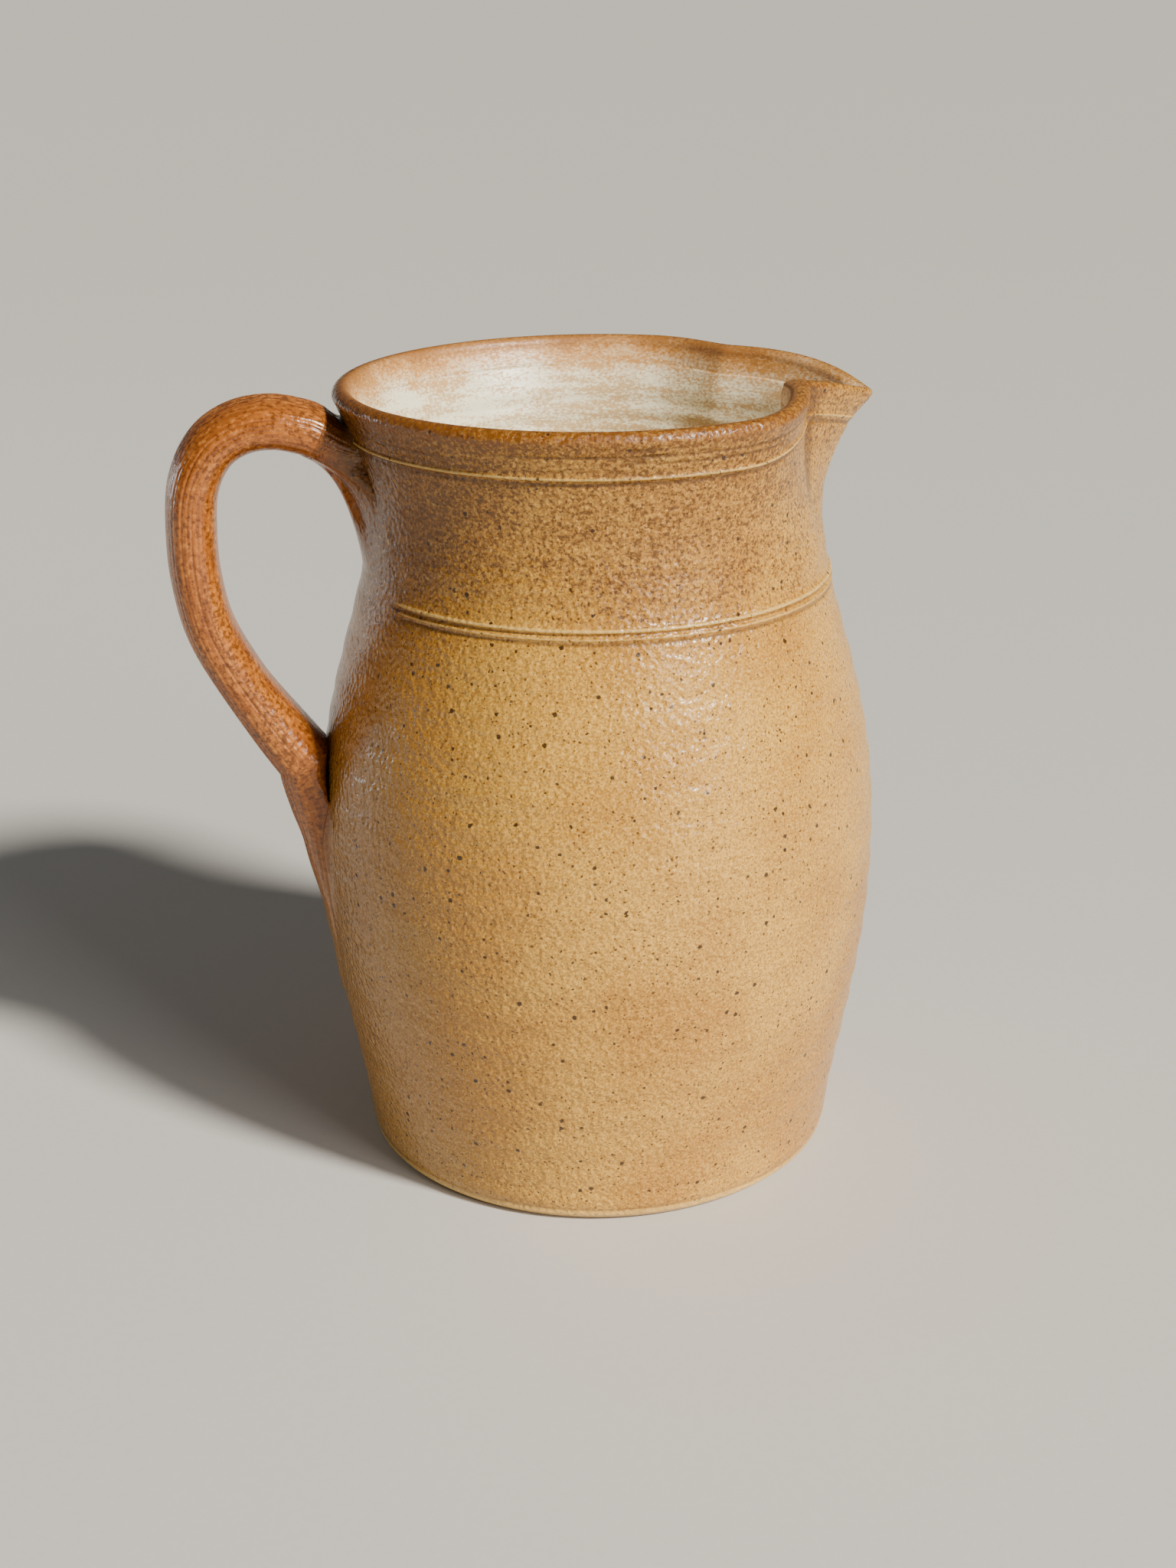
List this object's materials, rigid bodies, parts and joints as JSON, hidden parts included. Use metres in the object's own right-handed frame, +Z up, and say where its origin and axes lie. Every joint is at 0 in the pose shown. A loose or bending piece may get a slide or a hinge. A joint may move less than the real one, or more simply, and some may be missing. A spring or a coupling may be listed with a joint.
{
  "type": "stoneware pitcher",
  "caption": "Salt-glazed stoneware pitcher with a swelling belly, a pulled pouring lip and a ribbed strap handle luted on at neck and belly.",
  "frame": {"origin": "middle of the flat foot, on the table", "axes": "+Z up, +X towards the pouring lip, the handle on -X"},
  "size_m": [0.221, 0.1784, 0.2514],
  "materials": {
    "salt_glazed_clay": "salt glaze, speckled tan, satin gloss with orange-peel texture",
    "handle_clay": "salt glaze over a ribbed strap, orange brown, glossy",
    "joint_clay": "salt glaze over wiped clay, dark brown, glossy",
    "liner_glaze": "smooth off-white liner glaze with tan throwing streaks"
  },
  "bodies": {
    "root": {"thrown_pot": "salt_glazed_clay", "liner_glaze": "liner_glaze", "handle_strap": "handle_clay", "upper_joint_clay": "joint_clay", "lower_joint_clay": "joint_clay"}
  },
  "joints": []
}
